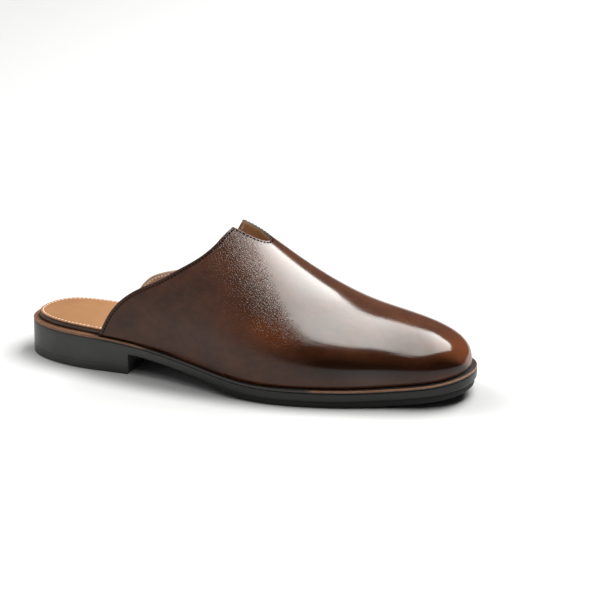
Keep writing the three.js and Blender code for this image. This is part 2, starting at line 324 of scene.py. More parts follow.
    def upper_slopes(self, angle: Array, turn: Array, side: Side) -> tuple[Array, Array, Array]:
        """How the upper's outside runs: its two slopes and its outward normal.

        Args:
            angle: station angles.
            turn: shares of the way round from feather line to ridge.
            side: which half.

        Returns:
            Slope along the shoe per angle, slope round it per turn, and the normal.
        """
        nudge = 0.004
        safe = np.minimum(angle, math.pi - 4.0 * nudge)
        along = self.upper_point(safe + nudge, turn, side) - self.upper_point(safe - nudge, turn, side)
        low, high = np.maximum(turn - nudge, 0.0), np.minimum(turn + nudge, 1.0)
        around = self.upper_point(safe, high, side) - self.upper_point(safe, low, side)
        along, around = along / (2.0 * nudge), around / (high - low)[..., None]
        level = around.copy()
        level[..., 2] = 0.0
        around = np.where((turn > 1.0 - nudge)[..., None], level, around)
        normal = unit(np.cross(along, around) * -side.value)
        normal = np.where((angle > math.pi - nudge)[..., None], np.array([1.0, 0.0, 0.0]), normal)
        return along, around, normal


class Patchwork:
    """Collects grids of points and welds them into one mesh."""

    def __init__(self, *attributes: str) -> None:
        """Starts empty, with the names of the point values that the grids may carry.

        Args:
            attributes: the names.
        """
        self.points: list[Array] = []
        self.faces: list[Array] = []
        self.slots: list[Array] = []
        self.values: dict[str, list[Array]] = {name: [] for name in attributes}
        self.count = 0

    def grid(self, points: Array, slot: int = 0, flip: bool = False, **values: Array) -> None:
        """Adds a grid of quads.

        Args:
            points: rows by columns by 3.
            slot: the material slot of its faces.
            flip: whether its faces turn over.
            values: a number or a rows by columns array for each named point value.
        """
        rows, columns = points.shape[:2]
        index = self.count + np.arange(rows * columns).reshape(rows, columns)
        quads = np.stack([index[:-1, :-1], index[:-1, 1:], index[1:, 1:], index[1:, :-1]], -1)
        quads = quads.reshape(-1, 4)
        self.faces.append(quads[:, ::-1] if flip else quads)
        self.slots.append(np.full(len(quads), slot, np.int32))
        self.points.append(points.reshape(-1, 3))
        for name, store in self.values.items():
            store.append(np.broadcast_to(values.get(name, 0.0), (rows, columns)).reshape(-1))
        self.count += rows * columns

    def build(self, name: str, materials: Sequence[bpy.types.Material],
              sharp: float = math.radians(50.0)) -> bpy.types.Object:
        """Makes the object: welds points that fall together and shades it smooth.

        Args:
            name: the piece's name.
            materials: one for each slot.
            sharp: the angle past which an edge stays crisp.

        Returns:
            The new object, at the origin.
        """
        points, faces = np.concatenate(self.points), np.concatenate(self.faces)
        mesh = bpy.data.meshes.new(name)
        mesh.vertices.add(len(points))
        mesh.vertices.foreach_set("co", points.astype(np.float32).ravel())
        mesh.loops.add(faces.size)
        mesh.loops.foreach_set("vertex_index", faces.astype(np.int32).ravel())
        mesh.polygons.add(len(faces))
        mesh.polygons.foreach_set("loop_start", np.arange(0, faces.size, 4, dtype=np.int32))
        for title, store in self.values.items():
            layer = mesh.attributes.new(title, "FLOAT", "POINT")
            layer.data.foreach_set("value", np.concatenate(store).astype(np.float32))
        for material in materials:
            mesh.materials.append(material)
        mesh.polygons.foreach_set("material_index", np.concatenate(self.slots))
        mesh.update(calc_edges=True)
        work = bmesh.new()
        work.from_mesh(mesh)
        bmesh.ops.remove_doubles(work, verts=work.verts, dist=WELD)
        bmesh.ops.dissolve_degenerate(work, edges=work.edges, dist=WELD / 10.0)
        work.to_mesh(mesh)
        work.free()
        mesh.polygons.foreach_set("use_smooth", np.ones(len(mesh.polygons), bool))
        mesh.set_sharp_from_angle(angle=sharp)
        mesh.update()
        piece = bpy.data.objects.new(name, mesh)
        bpy.context.scene.collection.objects.link(piece)
        return piece


def place(piece: bpy.types.Object, slot: str, *nodes: str) -> bpy.types.Object:
    """Ties a piece to the shoe's body and hides the solids that it replaces.

    Args:
        piece: what to tie.
        slot: its material slot; not used.
        nodes: the solids.

    Returns:
        The same piece.
    """
    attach(piece, BODY)
    if nodes:
        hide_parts(*nodes)
    log.info("%s: %d faces", piece.name, len(piece.data.polygons))
    return piece


Socket = bpy.types.NodeSocket
Input = Socket | float | Sequence[float]


class Sheet:
    """Lays out the nodes of one material, group or world."""

    def __init__(self, tree: bpy.types.NodeTree) -> None:
        """Works on this tree."""
        self.tree = tree

    def node(self, kind: str, inputs: dict[str | int, Input] | None = None,
             **settings: object) -> bpy.types.Node:
        """Adds a node.

        Args:
            kind: the node's type, without the leading ShaderNode.
            inputs: a value or a socket for each named or numbered input.
            settings: properties of the node.

        Returns:
            The node.
        """
        node = self.tree.nodes.new("ShaderNode" + kind)
        for name, value in settings.items():
            setattr(node, name, value)
        self.feed(node, inputs or {})
        return node

    def feed(self, node: bpy.types.Node, inputs: dict[str | int, Input]) -> None:
        """Gives each named or numbered input of a node its value, or a link from a socket.

        Args:
            node: the node.
            inputs: a value or a socket for each input.
        """
        for name, value in inputs.items():
            if isinstance(value, bpy.types.NodeSocket):
                self.tree.links.new(value, node.inputs[name])
            else:
                node.inputs[name].default_value = value

    def math(self, operation: str, first: Input, second: Input = 0.0, clamp: bool = False) -> Socket:
        """The result of one sum on numbers."""
        node = self.node("Math", {0: first, 1: second}, operation=operation, use_clamp=clamp)
        return node.outputs[0]

    def mix(self, share: Input, first: Input, second: Input) -> Socket:
        """A colour between two, by share."""
        ends = {0: share, 6: rgba(first), 7: rgba(second)}
        return self.node("Mix", ends, data_type="RGBA", clamp_factor=True).outputs[2]

    def span(self, value: Input, low: float, high: float, first: float = 0.0,
             second: float = 1.0) -> Socket:
        """A number taken smoothly from low and high to first and second."""
        ends = {0: value, 1: low, 2: high, 3: first, 4: second}
        return self.node("MapRange", ends, interpolation_type="SMOOTHSTEP").outputs[0]

    def attribute(self, name: str) -> Socket:
        """A point value that the mesh carries."""
        return self.node("Attribute", attribute_name=name).outputs["Fac"]

    def bump(self, height: Socket, distance: float) -> Socket:
        """A normal tilted by a height, in units of a distance."""
        return self.node("Bump", {"Height": height, "Distance": distance, "Strength": 1.0}).outputs[0]

    def group(self, tree: bpy.types.NodeTree, **inputs: Input) -> bpy.types.Node:
        """Places a node group with its own values."""
        named = {name.capitalize(): value for name, value in inputs.items()}
        return self.node("Group", named, node_tree=tree)


def rgba(colour: Input) -> Input:
    """A colour with its alpha, or the socket as it is."""
    if isinstance(colour, bpy.types.NodeSocket) or len(colour) == 4:
        return colour
    return (*colour, 1.0)


def new_group(name: str, inputs: dict[str, float], outputs: Sequence[str]) -> tuple[
        bpy.types.NodeTree, Sheet, bpy.types.Node, bpy.types.Node]:
    """Starts a shader node group of plain numbers.

    Args:
        name: the group's name.
        inputs: each input's name and usual value.
        outputs: the outputs' names.

    Returns:
        The tree, its sheet, its input node and its output node.
    """
    tree = bpy.data.node_groups.new(name, "ShaderNodeTree")
    for title, value in inputs.items():
        socket = tree.interface.new_socket(title, in_out="INPUT", socket_type="NodeSocketFloat")
        socket.default_value = value
    for title in outputs:
        tree.interface.new_socket(title, in_out="OUTPUT", socket_type="NodeSocketFloat")
    source = tree.nodes.new("NodeGroupInput")
    sink = tree.nodes.new("NodeGroupOutput")
    return tree, Sheet(tree), source, sink


def mottle_group() -> bpy.types.NodeTree:
    """Cloudy variation: broad and close noise on Object coordinates, mixed into one mask.

    Returns:
        The group.
    """
    closer = 4.7
    broad_share = 0.7
    contrast = (0.32, 0.68)
    tree, sheet, source, sink = new_group("Mottle", {"Size": 0.02, "Stretch": 1.0}, ["Mask"])
    where = sheet.node("TexCoord").outputs["Object"]
    stretch = sheet.node("CombineXYZ", {0: 1.0, 1: source.outputs["Stretch"], 2: source.outputs["Stretch"]})
    spot = sheet.node("VectorMath", {0: where, 1: stretch.outputs[0]}, operation="MULTIPLY").outputs[0]
    scale = sheet.math("DIVIDE", 1.0, source.outputs["Size"])
    broad = sheet.node("TexNoise", {"Vector": spot, "Scale": scale, "Detail": 3.0, "Roughness": 0.55})
    close = sheet.node("TexNoise", {"Vector": spot, "Scale": sheet.math("MULTIPLY", scale, closer),
                                    "Detail": 2.0, "Roughness": 0.5})
    both = sheet.math("ADD", sheet.math("MULTIPLY", broad.outputs[0], broad_share),
                      sheet.math("MULTIPLY", close.outputs[0], 1.0 - broad_share))
    sheet.feed(sink, {"Mask": sheet.span(both, *contrast)})
    return tree


def grain_group() -> bpy.types.NodeTree:
    """Leather grain: rounded pebbles with creases between, and pores inside them.

    Returns:
        The group.
    """
    drift_scale = 0.6
    drift_reach = 0.0007
    crease_width = 0.28
    finer = 2.6
    pore_range = (0.35, 0.62)
    tree, sheet, source, sink = new_group("Grain", {"Size": 0.0008, "Crease": 0.5}, ["Height", "Pores"])
    where = sheet.node("TexCoord").outputs["Object"]
    scale = sheet.math("DIVIDE", 1.0, source.outputs["Size"])
    drift = sheet.node("TexNoise", {"Vector": where, "Scale": sheet.math("MULTIPLY", scale, drift_scale),
                                    "Detail": 2.0}).outputs["Color"]
    sway = sheet.node("VectorMath", {0: drift, 3: drift_reach}, operation="SCALE").outputs[0]
    bent = sheet.node("VectorMath", {0: where, 1: sway}, operation="ADD").outputs[0]
    cells = sheet.node("TexVoronoi", {"Vector": bent, "Scale": scale}, feature="DISTANCE_TO_EDGE")
    crease = sheet.span(cells.outputs["Distance"], 0.0, crease_width)
    fine = sheet.node("TexNoise", {"Vector": where, "Scale": sheet.math("MULTIPLY", scale, finer),
                                   "Detail": 3.0}).outputs[0]
    weight = source.outputs["Crease"]
    left = sheet.math("SUBTRACT", 1.0, weight)
    height = sheet.math("ADD", sheet.math("MULTIPLY", crease, weight), sheet.math("MULTIPLY", fine, left))
    sheet.feed(sink, {"Height": height, "Pores": sheet.span(fine, *pore_range)})
    return tree


@dataclass
class Groups:
    """The node groups that the finishes share, built once."""

    mottle: bpy.types.NodeTree = field(default_factory=mottle_group)
    grain: bpy.types.NodeTree = field(default_factory=grain_group)


@dataclass(frozen=True)
class Finish:
    """What every finish shares: two tones, how rough it is and how grainy."""

    name: str
    tone: Colour
    shade: Colour
    roughness: float = 0.5
    rough_range: Span = (0.08, -0.04)
    specular: float = 0.5
    grain_size: float = 0.0008
    grain_depth: float = 0.00004
    crease: float = 0.5
    mottle_size: float = 0.02

    def start(self) -> tuple[bpy.types.Material, Sheet, bpy.types.Node]:
        """A new material, its sheet, and its Principled shader with the constant values set.

        Returns:
            The material, the sheet and the shader.
        """
        material = bpy.data.materials.new(self.name)
        material.use_nodes = True
        sheet = Sheet(material.node_tree)
        shader = material.node_tree.nodes["Principled BSDF"]
        sheet.feed(shader, {"Roughness": self.roughness, "Specular IOR Level": self.specular})
        return material, sheet, shader

    def colour(self, sheet: Sheet, mottle: Socket) -> Socket:
        """The base colour: the two tones mixed by the mottle."""
        return sheet.mix(mottle, self.shade, self.tone)

    def gloss(self, sheet: Sheet, pores: Socket) -> Socket:
        """The roughness, from its value in the pores to its value between them."""
        rough, smooth = (self.roughness + change for change in self.rough_range)
        return sheet.span(pores, 0.0, 1.0, rough, smooth)

    def dress(self, groups: Groups) -> bpy.types.Material:
        """The plain form of the finish: mottled tone, grain as bump, roughness that varies.

        Args:
            groups: the shared node groups.

        Returns:
            The material.
        """
        material, sheet, shader = self.start()
        mottle = sheet.group(groups.mottle, size=self.mottle_size).outputs["Mask"]
        grain = sheet.group(groups.grain, size=self.grain_size, crease=self.crease)
        sheet.feed(shader, {"Base Color": self.colour(sheet, mottle),
                            "Roughness": self.gloss(sheet, grain.outputs["Pores"]),
                            "Normal": sheet.bump(grain.outputs["Height"], self.grain_depth)})
        return material


@dataclass(frozen=True)
class TwoPartFinish(Finish):
    """A finish whose colour changes along the shoe, from the heel part to the fore part."""

    ahead: Colour = (0.01, 0.01, 0.01)
    change: Span = (0.05, 0.12)

    def colour(self, sheet: Sheet, mottle: Socket) -> Socket:
        """The base colour, which turns to the colour ahead between two places along the shoe.

        Args:
            sheet: the material's sheet.
            mottle: the mottle's mask.

        Returns:
            The colour.
        """
        where = sheet.node("TexCoord").outputs["Object"]
        along = sheet.node("SeparateXYZ", {0: where}).outputs[0]
        return sheet.mix(sheet.span(along, *self.change), super().colour(sheet, mottle), self.ahead)


@dataclass(frozen=True)
class UpperLeather(Finish):
    """Burnished leather: dark at the wings, warm where it was rubbed, grainy at the instep. It has
    painted shade on the low outer side of the forepart and a painted highlight on the near edge
    of the notch.

    The mesh carries the values rim, burnish_and_shade, pebble, polish and notch_sheen.
    """

    warm: Colour = (0.112, 0.028, 0.0052)
    # The colour of the painted shade on the low outer side of the forepart and the toe.
    painted_shade: Colour = (0.0140, 0.0044, 0.0018)
    stretch: float = 1.4
    cloud_size: float = 0.011
    cloud_range: Span = (0.75, 1.1)
    paint: Colour = (0.032, 0.014, 0.009)
    paint_reach: Span = (0.0003, 0.0014)
    paint_cover: float = 0.85
    # A light, pink edge colour that paints the highlight on the near edge of the notch.
    notch_sheen: Colour = (0.17, 0.082, 0.066)
    edge_reach: float = 0.0006
    edge_rough: float = 0.22
    pebble_rough: float = 0.05
    wax: float = 0.25
    wax_roughness: float = 0.13
    fine_depth: float = 0.000004
    groove: float = 0.0022
    groove_half: float = 0.0007
    groove_depth: float = 0.00006
    groove_rough: float = 0.08

    def burnished(self, sheet: Sheet, groups: Groups) -> Socket:
        """The base colour: mottled tones, then warm patches and painted shade, then the edge with its
        painted highlight.

        Args:
            sheet: the material's sheet.
            groups: the shared groups.

        Returns:
            The colour.
        """
        mottle = sheet.group(groups.mottle, size=self.mottle_size, stretch=self.stretch).outputs["Mask"]
        cloud = sheet.group(groups.mottle, size=self.cloud_size).outputs["Mask"]
        burnish_and_shade = sheet.attribute("burnish_and_shade")
        warmth = sheet.math("MULTIPLY", burnish_and_shade, sheet.span(cloud, 0.0, 1.0, *self.cloud_range), clamp=True)
        # Negative values paint shade: they mix in the dark colour low on the outer side of the forepart and
        # at the toe.
        darkness = sheet.math("MULTIPLY", burnish_and_shade, -1.0, clamp=True)
        warmed = sheet.mix(warmth, self.colour(sheet, mottle), self.warm)
        # On the near edge of the notch the edge turns light and pink: a painted highlight.
        edge = sheet.mix(sheet.attribute("notch_sheen"), self.paint, self.notch_sheen)
        cover = sheet.span(sheet.attribute("rim"), *self.paint_reach, self.paint_cover, 0.0)
        return sheet.mix(cover, sheet.mix(darkness, warmed, self.painted_shade), edge)

    def grooved(self, sheet: Sheet, rim: Socket, most: float) -> Socket:
        """A value that is at its most along the stitched groove and fades to both its sides."""
        offset = sheet.math("ABSOLUTE", sheet.math("SUBTRACT", rim, self.groove))
        return sheet.span(offset, 0.0, self.groove_half, most, 0.0)

    def dress(self, groups: Groups) -> bpy.types.Material:
        """Mixes tones, grain and wax by the values that the mesh carries.

        Args:
            groups: the shared node groups.

        Returns:
            The material.
        """
        material, sheet, shader = self.start()
        grain = sheet.group(groups.grain, size=self.grain_size, crease=self.crease)
        pebble = sheet.attribute("pebble")
        rim = sheet.attribute("rim")
        depth = sheet.math("ADD", sheet.math("MULTIPLY", pebble, self.grain_depth), self.fine_depth)
        grained = sheet.math("MULTIPLY", grain.outputs["Height"], depth)
        height = sheet.math("SUBTRACT", grained, self.grooved(sheet, rim, self.groove_depth))
        rough = sheet.math("MULTIPLY", pebble, self.pebble_rough)
        for more in (self.gloss(sheet, grain.outputs["Pores"]), self.grooved(sheet, rim, self.groove_rough),
                     sheet.span(rim, 0.0, self.edge_reach, self.edge_rough, 0.0)):
            rough = sheet.math("ADD", rough, more)
        sheet.feed(shader, {"Base Color": self.burnished(sheet, groups), "Roughness": rough,
                            "Coat Weight": sheet.math("MULTIPLY", sheet.attribute("polish"), self.wax),
                            "Coat Roughness": self.wax_roughness, "Normal": sheet.bump(height, 1.0)})
        return material


@dataclass(frozen=True)
class WeltLeather(Finish):
    """Tan rim, darkened in the waist and along the crease beside the upper by ink and painted shade."""

    # The dark colour is ink and also paints the shade in the waist and in the crease beside the upper.
    ink_and_shade: Colour = (0.018, 0.013, 0.011)
    ink_and_shade_edge: Span = (0.3, 0.7)
    ragged: float = 0.08
    stretch: float = 3.0

    def dress(self, groups: Groups) -> bpy.types.Material:
        """Mixes tan and the dark colour, ink and painted shade, by the value that the mesh carries, with a
        ragged border.

        Args:
            groups: the shared node groups.

        Returns:
            The material.
        """
        material, sheet, shader = self.start()
        mottle = sheet.group(groups.mottle, size=self.mottle_size, stretch=self.stretch).outputs["Mask"]
        border = sheet.math("ADD", sheet.attribute("ink_and_shade"),
                            sheet.span(mottle, 0.0, 1.0, self.ragged, -self.ragged))
        base = sheet.mix(sheet.span(border, *self.ink_and_shade_edge), self.colour(sheet, mottle), self.ink_and_shade)
        grain = sheet.group(groups.grain, size=self.grain_size, crease=self.crease)
        sheet.feed(shader, {"Base Color": base,
                            "Normal": sheet.bump(grain.outputs["Height"], self.grain_depth)})
        return material


FINISHES = (
    # The heel part of this edge is far lighter than the part ahead: painted light that stands for the
    # reflections on the heel block.
    TwoPartFinish("sole_edge_wax_and_heel_sheen", tone=(0.044, 0.043, 0.039), shade=(0.032, 0.031, 0.028),
                  ahead=(0.0075, 0.007, 0.0062), change=(0.04, 0.12), roughness=0.36, specular=0.36,
                  grain_size=0.0011, grain_depth=0.00001, crease=0.2, mottle_size=0.03),
    Finish("rubber", tone=(0.012, 0.0118, 0.011), shade=(0.008, 0.008, 0.0078), roughness=0.55,
           specular=0.25, grain_size=0.0005, grain_depth=0.00002, crease=0.3),
    WeltLeather("welt_tan", tone=(0.22, 0.105, 0.055), shade=(0.15, 0.065, 0.032), roughness=0.45,
                grain_size=0.0009, grain_depth=0.00002, crease=0.4, mottle_size=0.01),
    Finish("wrap_leather", tone=(0.060, 0.031, 0.019), shade=(0.038, 0.019, 0.012), roughness=0.36,
           grain_size=0.0009, grain_depth=0.00003, mottle_size=0.012),
    Finish("sock_tan", tone=(0.338, 0.162, 0.067), shade=(0.294, 0.136, 0.055),
           grain_size=0.0010, grain_depth=0.00002, crease=0.4, mottle_size=0.03),
    Finish("light_thread", tone=(0.88, 0.72, 0.62), shade=(0.76, 0.58, 0.48), roughness=0.6),
    TwoPartFinish("dark_thread", tone=(0.034, 0.014, 0.008), shade=(0.022, 0.009, 0.005),
                  ahead=(0.0035, 0.003, 0.003), change=(0.045, 0.085), roughness=0.85, specular=0.1),
    # The lining's fore part, towards the notch, is brighter and warmer than its back: painted light inside
    # the shoe.
    TwoPartFinish("lining_leather_and_painted_light", tone=(0.54, 0.38, 0.275), shade=(0.38, 0.255, 0.18),
                  ahead=(0.56, 0.32, 0.16), change=(0.07, 0.11), specular=0.4,
                  grain_size=0.0013, grain_depth=0.0001, crease=0.6, mottle_size=0.015),
    UpperLeather("upper_leather", tone=(0.072, 0.0225, 0.0092), shade=(0.036, 0.0112, 0.0045),
                 roughness=0.13, rough_range=(0.015, -0.015), specular=0.31,
                 grain_size=0.0013, grain_depth=0.00025, crease=0.6, mottle_size=0.03),
)


@dataclass(frozen=True)
class Border:
    """A slanted line across one side of the upper, from its grainy to its waxed part."""

    slant: float
    at: float
    turn: float

    def past(self, at: Array, turn: Array) -> Array:
        """How far over the line a point lies: its turn less the line's turn at its place."""
        return turn + self.slant * (at - self.at) - self.turn


@dataclass
class Upper:
    """The hollow upper with its lining, rounded edge and the stitches along its opening."""

    last: Last
    peak_foot: float = 0.37
    notch_foot: float = 0.49
    edge_columns: int = 190
    ridge_columns: int = 120
    leather_rows: int = 64
    lining_rows: int = 30
    arc_rows: int = 9
    rim_points: int = 500
    path_points: int = 401
    row_crowding: float = 1.4
    level_foot: float = 0.05
    corner_reach: float = 0.0012
    tuck: float = 0.0007
    tuck_height: float = 0.0018
    stitch_offset: float = 0.0022
    stitch_pitch: float = 0.00245
    stitch_length: float = 0.0019
    stitch_points: int = 900
    corner_clear: float = 0.96
    thread: float = 0.0014
    # Where the grain, the wax and the painted highlight on the near edge of the notch fade: from
    # none to full, by place along, by turn, by distance from the rim or by how far over the border.
    grain_front: Span = (0.76, 0.56)
    grain_foot: Span = (0.12, 0.37)
    grain_border: Span = (0.1972, -0.1428)
    wax_front: Span = (0.9, 0.8)
    wax_rim: Span = (0.003, 0.006)
    wax_border: Span = (-0.06, 0.28)
    notch_sheen_span: Span = (0.465, 0.477)
    borders: dict[Side, Border] = field(default_factory=lambda: {
        Side.OUTER: Border(3.25, 0.54, 0.79), Side.INNER: Border(0.8, 0.6, 0.62)})
    topline: dict[Side, Table] = field(default_factory=lambda: {
        Side.OUTER: {"at": (0.186, 0.204, 0.239, 0.287, 0.333, 0.372, 0.42, 0.448, 0.47),
                     "turn": (0, 0.084, 0.187, 0.275, 0.35, 0.432, 0.551, 0.669, 0.879)},
        Side.INNER: {"at": (0.181, 0.203, 0.226, 0.265, 0.31, 0.365, 0.412, 0.448, 0.472),
                     "turn": (0, 0.095, 0.156, 0.205, 0.25, 0.345, 0.475, 0.638, 0.874)}})
    notch: dict[Side, Table] = field(default_factory=lambda: {
        Side.OUTER: {"at": (0.47, 0.488, 0.512, 0.531, 0.541, 0.543),
                     "turn": (0.879, 0.884, 0.896, 0.928, 0.968, 1)},
        Side.INNER: {"at": (0.472, 0.489, 0.512, 0.531, 0.541, 0.543),
                     "turn": (0.874, 0.874, 0.886, 0.92, 0.962, 1)}})
    # Patches of the burnish and of painted shade: place along, way round (outer side negative),
    # their spreads and strength. The first two are the rubbed patch on the outer side; the last
    # three, of negative strength, paint shade on the low outer side of the forepart and the toe.
    patches: Table = field(default_factory=lambda: {
        "at": (0.61, 0.51, 0.985, 0.90, 0.72, 0.55, 0.73, 0.86, 0.975),
        "round": (-0.33, -0.28, 0.90, 0.45, 0.60, 0.75, -0.21, -0.23, -0.38),
        "along": (0.065, 0.06, 0.035, 0.10, 0.16, 0.07, 0.085, 0.10, 0.05),
        "across": (0.10, 0.12, 0.40, 0.30, 0.28, 0.15, 0.13, 0.14, 0.20),
        "strength": (0.85, 0.30, 0.66, 0.80, 0.70, 0.35, -0.95, -0.95, -1.1)})
    # Soft flex across the vamp: place along, middle and lean of each line, its spreads and
    # its height, below nothing for a trough.
    flex: Table = field(default_factory=lambda: {
        "at": (0.605, 0.628, 0.652, 0.690, 0.560),
        "round": (-0.45, -0.40, -0.30, 0.35, -0.16),
        "lean": (0.05, 0.07, 0.08, -0.05, 0.10),
        "along": (0.011, 0.012, 0.011, 0.014, 0.014),
        "across": (0.22, 0.28, 0.25, 0.35, 0.12),
        "height": (-0.00008, 0.00006, -0.00008, -0.00010, -0.00020)})

    def edge_path(self, table: Table, share: Array) -> Array:
        """A smooth path through a table's rows, as station angle and turn.

        Both follow cubic curves of the distance travelled from row to row.

        Args:
            table: the rows.
            share: shares of the way along the path.

        Returns:
            Angle and turn in the last axis.
        """
        spots = np.stack([angle_of(np.array(table["at"])), np.array(table["turn"], float)], -1)
        along = travelled(spots)
        return np.stack([cubic_curve(along, part)(share * along[-1]) for part in spots.T], -1)

    def edge(self, side: Side, inset: float, count: int) -> Array:
        """The opening's edge from the back corner to the bottom of the notch.

        The corner at the peak is rounded by averaging nearby points, and the whole is
        moved into the leather by solving its inward step in the surface's two slopes.

        Args:
            side: which half.
            inset: how far into the leather.
            count: how many points, evenly spaced.

        Returns:
            Angle and turn in the last axis.
        """
        share = np.linspace(0.0, 1.0, self.path_points)
        path = np.concatenate([self.edge_path(self.topline[side], share),
                               self.edge_path(self.notch[side], share[1:])])
        travel = travelled(self.last.upper_point(*path.T, side))
        even = np.linspace(0.0, travel[-1], 6 * count)
        peak = travel[share.size - 1]
        path = read_along(even, travel, path)
        width = self.corner_reach / 3.0
        weight = bell((even[:, None] - even[None, :]) / width)
        averaged = weight @ path / weight.sum(axis=1, keepdims=True)
        blend = bell((even - peak) / self.corner_reach)[:, None]
        path = path + (averaged - path) * blend
        along, around, _ = self.last.upper_slopes(*path.T, side)
        inward = -self.away(path, side) * inset
        gram = np.stack([np.stack([(along * along).sum(-1), (along * around).sum(-1)], -1),
                         np.stack([(along * around).sum(-1), (around * around).sum(-1)], -1)], -2)
        wanted = np.stack([(along * inward).sum(-1), (around * inward).sum(-1)], -1)
        path = path + np.linalg.solve(gram, wanted[..., None])[..., 0]
        path[:, 1] = np.clip(path[:, 1], 0.0, 1.0)
        path[0, 1], path[-1, 1] = 0.0, 1.0
        last_angle = angle_of(np.array(self.notch[Side.OUTER]["at"][-1]))
        slope = self.last.upper_slopes(last_angle[None], np.ones(1), Side.OUTER)[0]
        path[-1, 0] = last_angle + inset / np.linalg.norm(slope)
        travel = travelled(self.last.upper_point(*path.T, side))
        return read_along(np.linspace(0.0, travel[-1], count), travel, path)

    def away(self, path: Array, side: Side) -> Array:
        """Directions in the surface that point out of the leather, square to the edge.

        Args:
            path: angle and turn of each point of the edge.
            side: which half.

        Returns:
            A direction for each point.
        """
        tangent = unit(np.gradient(self.last.upper_point(*path.T, side), axis=0))
        normal = self.last.upper_slopes(*path.T, side)[2]
        return unit(np.cross(tangent, normal) * side.value)

    def columns(self, side: Side) -> tuple[Array, Array]:
        """Where each column of the mesh starts on the feather line and where it ends.

        Args:
            side: which half.

        Returns:
            Foot angles, and head angles and turns.
        """
        edge = self.edge(side, self.last.wall / 2.0, self.edge_columns)
        tables = self.topline[side], self.notch[side]
        peak = np.argmax(edge[:, 0] > angle_of(np.array(tables[1]["at"][0]))) / len(edge)
        share = np.linspace(0.0, 1.0, len(edge))
        feet = angle_of(np.array([tables[0]["at"][0], self.peak_foot, self.notch_foot]))
        feet[0] = edge[0, 0]
        foot = cubic_curve(np.array([0.0, peak, 1.0]), feet)(share)
        ridge = np.linspace(edge[-1, 0], math.pi, self.ridge_columns + 1)[1:]
        ridge_foot = np.linspace(foot[-1], math.pi, self.ridge_columns + 1)[1:]
        heads = np.concatenate([edge, np.stack([ridge, np.ones_like(ridge)], -1)])
        return np.concatenate([foot, ridge_foot]), heads

    def grid(self, side: Side, rows: int, depth: float) -> tuple[Array, Array, Array]:
        """One half of the wall as a grid, closer spaced near the opening.

        A column runs straight in angle and turn from its foot to its head, and each point
        is moved in along the normal, which is level where the wall stands on the welt.

        Args:
            side: which half.
            rows: how many rows.
            depth: how far below the outer face.

        Returns:
            Points, station angles and turns, rows by columns.
        """
        foot, head = self.columns(side)
        share = (1.0 - np.linspace(1.0, 0.0, rows + 1) ** self.row_crowding)[:, None]
        angle = foot + (head[:, 0] - foot) * share
        turn = head[:, 1] * share
        normal = self.last.upper_slopes(angle, turn, side)[2]
        normal[..., 2] *= np.clip(turn / self.level_foot, 0.0, 1.0)
        points = self.last.upper_point(angle, turn, side)
        return points - unit(normal) * depth, angle, turn

    def over_ridge(self, turn: Array, side: Side, middle: float) -> Array:
        """How far round a point lies past a middle, the short way, which may cross the ridge."""
        return np.mod(turn * side.value - middle + 1.0, 2.0) - 1.0

    def burnish_and_shade(self, angle: Array, turn: Array, side: Side) -> Array:
        """How warm the leather is and where shade is painted: the sum of the patches, each a soft bump.

        Args:
            angle: station angles.
            turn: shares of the way round from feather line to ridge.
            side: which half.

        Returns:
            From -1 for the darkest painted shade to 1 for the warmest.
        """
        at = share_of(angle)
        total = np.zeros_like(at)
        for patch in rows_of(self.patches):
            around = self.over_ridge(turn, side, patch["round"])
            bump = bell((at - patch["at"]) / patch["along"]) * bell(around / patch["across"])
            total = total + patch["strength"] * bump
        return np.clip(total, -1.0, 1.0)

    def flexed(self, angle: Array, turn: Array, side: Side) -> Array:
        """How far the leather stands out of its shape: the sum of soft ridges and troughs.

        Args:
            angle: station angles.
            turn: shares of the way round from feather line to ridge.
            side: which half.

        Returns:
            Heights along the normal.
        """
        at = share_of(angle)
        total = np.zeros_like(at)
        for fold in rows_of(self.flex):
            around = self.over_ridge(turn, side, fold["round"])
            line = (at - fold["at"] - fold["lean"] * around) / fold["along"]
            total = total + fold["height"] * bell(line) * bell(around / fold["across"])
        return total

    def surface(self, angle: Array, turn: Array, side: Side, rim: Array) -> dict[str, Array]:
        """The values that the outside carries for its finish.

        The grain fades out ahead, down the side and at the border, and only the outer side
        has it. The wax fades in over the border and away from the rim.

        Args:
            angle: station angles.
            turn: shares of the way round.
            side: which half.
            rim: distances from the opening's edge.

        Returns:
            Arrays by name.
        """
        at = share_of(angle)
        outer = side is Side.OUTER
        past = self.borders[side].past(at, turn)
        pebble = fade(at, self.grain_front) * fade(turn, self.grain_foot) * fade(past, self.grain_border)
        polish = fade(at, self.wax_front) * fade(rim, self.wax_rim) * fade(past, self.wax_border)
        # Besides the burnish, these values paint shade on the low outer side of the forepart and a highlight
        # on the near edge of the notch.
        return {"rim": rim, "burnish_and_shade": self.burnish_and_shade(angle, turn, side), "pebble": pebble * outer,
                "polish": polish, "notch_sheen": fade(at, self.notch_sheen_span) * outer}

    def rounded_edge(self, side: Side, outside: Array, inside: Array) -> Array:
        """The half round edge of the opening: an arc from the outer face over to the inner one.

        Args:
            side: which half.
            outside: the outer face's last row.
            inside: the inner face's last row.

        Returns:
            Rows by columns of points.
        """
        radius = self.last.wall / 2.0
        head = self.columns(side)[1][:self.edge_columns]
        spot = self.last.upper_point(*head.T, side)
        face = self.last.upper_slopes(*head.T, side)[2]
        away = self.away(head, side)
        away[-1] = unit(away[-1] * np.array([1.0, 0.0, 1.0]))
        swing = np.linspace(0.0, math.pi, self.arc_rows)[:, None, None]
        arc = spot - face * radius + radius * (face * np.cos(swing) + away * np.sin(swing))
        arc[0], arc[-1] = outside, inside
        return arc

